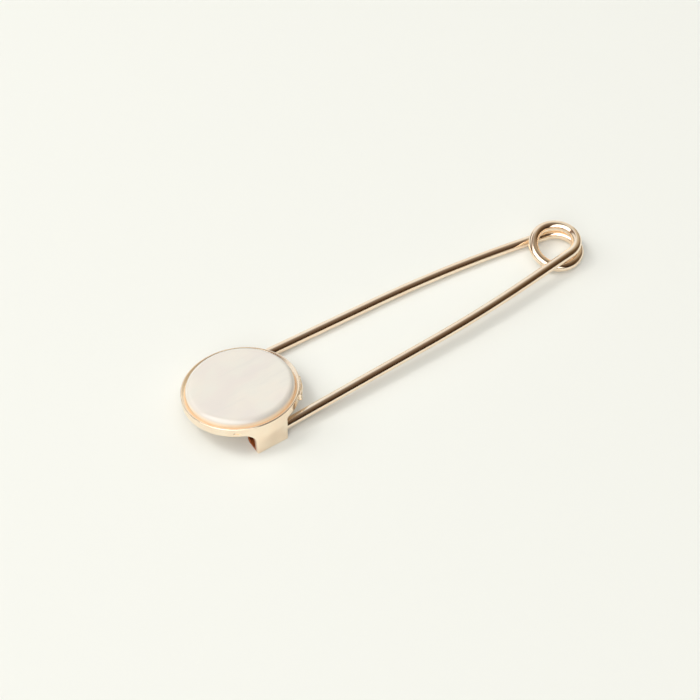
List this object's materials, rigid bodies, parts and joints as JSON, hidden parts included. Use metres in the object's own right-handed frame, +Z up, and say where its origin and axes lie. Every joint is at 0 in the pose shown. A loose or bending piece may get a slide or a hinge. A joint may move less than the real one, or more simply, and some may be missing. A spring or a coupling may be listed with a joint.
{
  "type": "kilt pin",
  "caption": "Round shell-inlaid tray with a catch, on a sprung wire that coils back on itself; its pointed leg passes through cloth and latches in the catch.",
  "frame": {"origin": "middle of the object's footprint, on the surface that it lies on", "axes": "+X from the tray to the coil, +Y from the pin leg to the fixed leg, +Z up, the side with the inlay"},
  "size_m": [0.0792, 0.0203, 0.0068],
  "materials": {
    "cast_metal": "cast, rose gold plated, bright",
    "wire": "drawn wire, rose gold plated, mirror polish",
    "shell": "polished mother-of-pearl, pale with faint streaks"
  },
  "bodies": {
    "frame": {"tray": "cast_metal", "shell_disc": "shell", "fixed_leg": "wire", "coil": "wire"},
    "pin": {"pin_leg": "wire"}
  },
  "joints": [
    {"name": "pin_swing", "type": "hinge", "parent": "frame", "child": "pin", "pos_m": [0.03464, -0.00163, 0.00315], "axis": [0, 0, -1], "range_deg": [0, 4.5], "stiffness_Nm_per_rad": 0.1, "springref_deg": -20.05}
  ]
}
